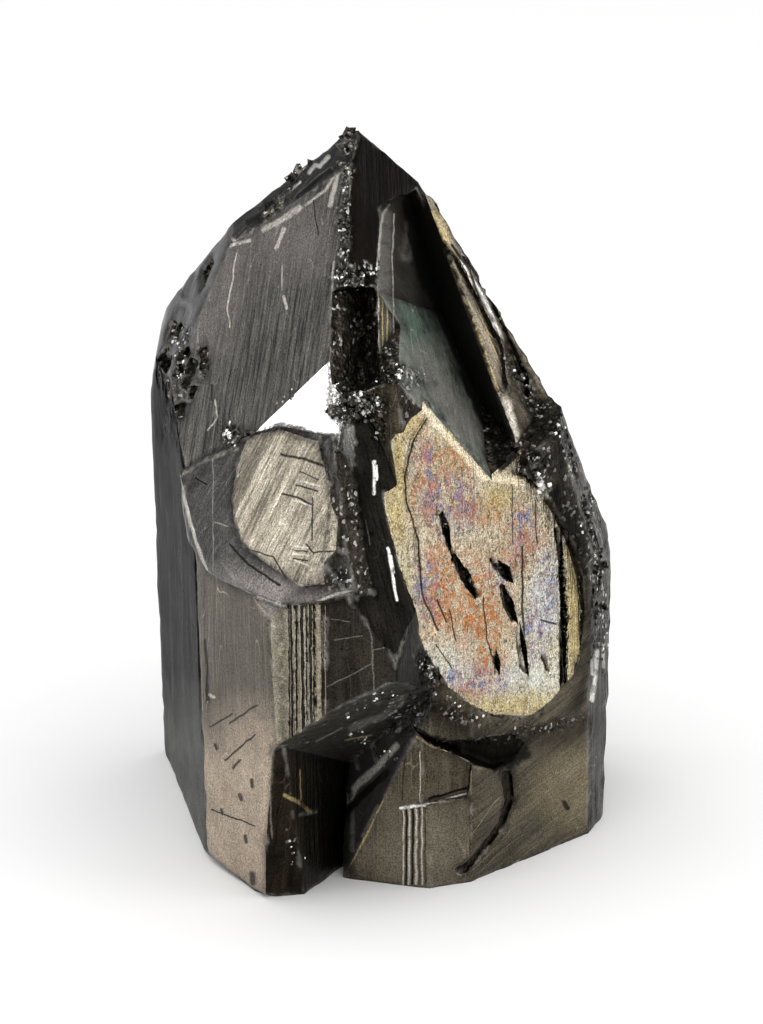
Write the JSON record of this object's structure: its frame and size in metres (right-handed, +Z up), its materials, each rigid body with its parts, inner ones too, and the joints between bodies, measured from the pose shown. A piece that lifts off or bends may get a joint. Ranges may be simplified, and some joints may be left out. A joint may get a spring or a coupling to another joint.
{
  "type": "wittichenite crystal specimen",
  "caption": "Free-standing dark metallic crystal specimen: intergrown blocky crystals with an oval iridescent scar, a long hollow and a cavity at the foot.",
  "frame": {"origin": "on the flat cut base, at the middle of the specimen's width", "axes": "+Z up along the crystal, -Y the front that the picture shows, +X to its right"},
  "size_m": [0.0118, 0.0103, 0.0185],
  "materials": {
    "tarnished_sulphosalt": "dark steel-grey metallic sulphosalt with a brown and iridescent tarnish, striated and scratched"
  },
  "bodies": {
    "root": {"wittichenite_crystal": "tarnished_sulphosalt"}
  },
  "joints": []
}
